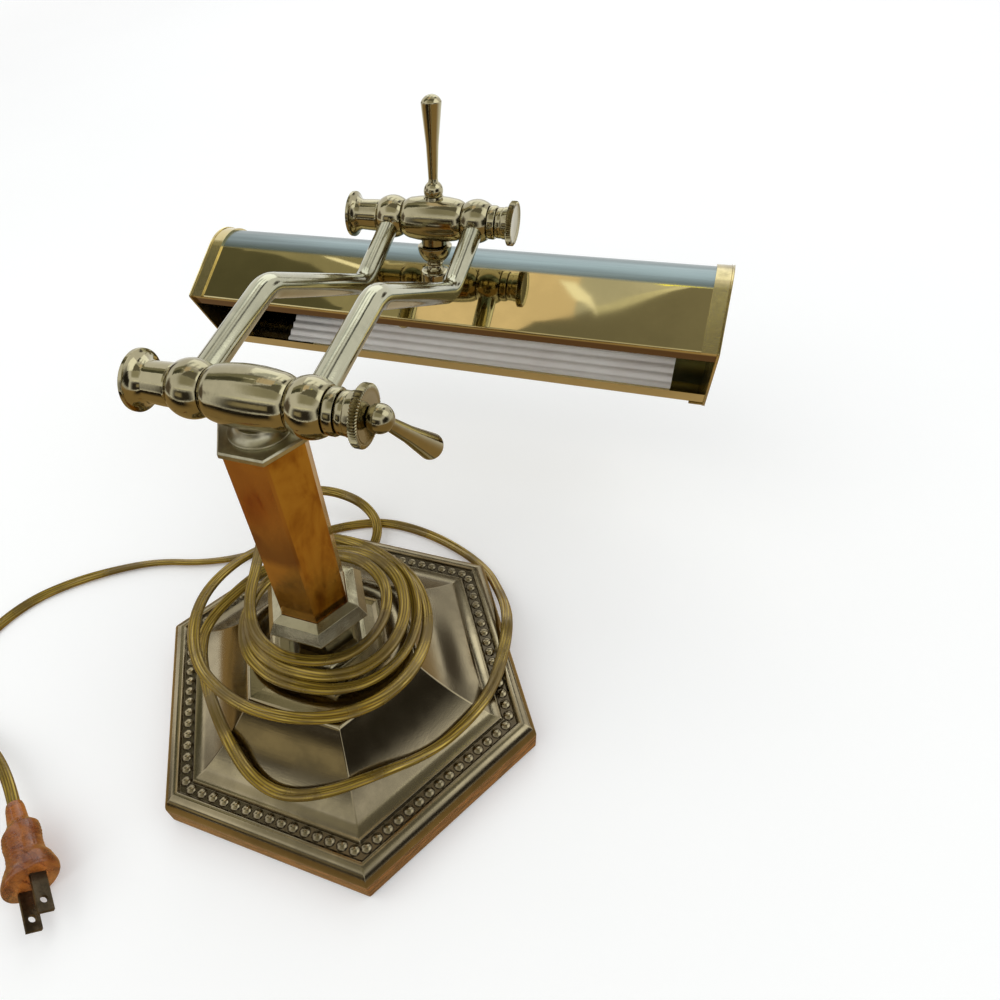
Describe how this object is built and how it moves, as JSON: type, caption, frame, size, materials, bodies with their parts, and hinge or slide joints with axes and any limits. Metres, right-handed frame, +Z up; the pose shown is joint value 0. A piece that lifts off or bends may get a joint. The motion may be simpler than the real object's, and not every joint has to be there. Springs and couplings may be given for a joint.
{
  "type": "bankers lamp",
  "caption": "Adjustable brass desk lamp: weighted hexagonal base and column, bent arms between two clamping knuckles, a swivelling trough shade, and a cord looped round the stand.",
  "frame": {"origin": "centre of the hexagonal base's underside", "axes": "+X along both knuckles and the shade towards the levers' side, +Y from the column towards the shade, +Z up"},
  "size_m": [0.346, 0.3531, 0.2101],
  "materials": {
    "polished_brass": "polished, pale",
    "base_brass": "antique, polished",
    "column_brass": "antique, polished",
    "shade_brass": "polished, pale",
    "white_enamel": "semi-gloss",
    "black_phenolic": "gloss",
    "inner_steel": "plated",
    "weight_iron": "as cast",
    "green_felt": "felt",
    "cord_vinyl": "translucent gold vinyl",
    "plug_vinyl": "translucent amber",
    "blade_metal": "tarnished"
  },
  "bodies": {
    "stand": {"base_felt": "green_felt", "base_plate": "inner_steel", "base_weight": "weight_iron", "base_shell": "base_brass", "plinth": "base_brass", "collar_cup": "polished_brass", "column": "column_brass", "column_cap": "polished_brass", "barrel_saddle": "polished_brass", "stem_rod": "inner_steel", "stem_nut": "inner_steel", "stem_washer": "inner_steel", "lower_barrel": "polished_brass", "lower_rod": "inner_steel", "lower_flange": "polished_brass", "lower_ring": "polished_brass", "cord_bushing": "black_phenolic", "cord_lead": "cord_vinyl", "cord_coil": "cord_vinyl", "cord_tail": "cord_vinyl", "cord_plug": "plug_vinyl", "plug_blades": "blade_metal"},
    "arms": {"lower_lobe_left": "polished_brass", "lower_lobe_right": "polished_brass", "arm_left": "polished_brass", "arm_right": "polished_brass", "upper_lobe_left": "polished_brass", "upper_lobe_right": "polished_brass"},
    "head": {"upper_barrel": "polished_brass", "upper_stud_left": "inner_steel", "upper_stud_right": "inner_steel", "upper_flange": "polished_brass", "upper_ring": "polished_brass"},
    "shade": {"neck": "polished_brass", "neck_spindle": "inner_steel", "neck_foot": "polished_brass", "foot_screw": "inner_steel", "shade_shell": "shade_brass", "shade_cap_left": "shade_brass", "shade_cap_right": "shade_brass", "reflector": "white_enamel", "socket": "black_phenolic", "socket_bracket": "inner_steel", "socket_sleeve": "inner_steel", "switch_body": "black_phenolic"},
    "lower_thumb_nut": {"lower_nut": "polished_brass"},
    "lower_handle": {"lower_lever": "polished_brass"},
    "upper_thumb_nut": {"upper_nut": "polished_brass"},
    "upper_handle": {"upper_lever": "polished_brass"},
    "knob": {"switch_knob": "polished_brass"}
  },
  "joints": [
    {"name": "arm_tilt", "type": "hinge", "parent": "stand", "child": "arms", "pos_m": [0, 0, 0.1827], "axis": [1, 0, 0], "range_deg": [-10, 60]},
    {"name": "head_tilt", "type": "hinge", "parent": "arms", "child": "head", "pos_m": [0, 0.17303, 0.15703], "axis": [1, 0, 0], "range_deg": [-20, 45]},
    {"name": "shade_swivel", "type": "hinge", "parent": "head", "child": "shade", "pos_m": [0, 0.17303, 0.15703], "axis": [0, 0.1392, 0.9903], "range_deg": [-35, 35]},
    {"name": "lower_nut_turn", "type": "hinge", "parent": "stand", "child": "lower_thumb_nut", "pos_m": [0, 0, 0.1827], "axis": [1, 0, 0], "range_deg": [-90, 90]},
    {"name": "lower_lever_turn", "type": "hinge", "parent": "stand", "child": "lower_handle", "pos_m": [0, 0, 0.1827], "axis": [1, 0, 0], "range_deg": [-60, 60]},
    {"name": "upper_nut_turn", "type": "hinge", "parent": "head", "child": "upper_thumb_nut", "pos_m": [0, 0.17303, 0.15703], "axis": [1, 0, 0], "range_deg": [-90, 90]},
    {"name": "upper_lever_turn", "type": "hinge", "parent": "shade", "child": "upper_handle", "pos_m": [0, 0.17303, 0.15703], "axis": [0, 0.1392, 0.9903], "range_deg": [-90, 90]},
    {"name": "switch_knob_turn", "type": "hinge", "parent": "shade", "child": "knob", "pos_m": [-0.015, 0.15691, 0.1087], "axis": [0, -0.4226, 0.9063], "range_deg": [-45, 45]}
  ]
}
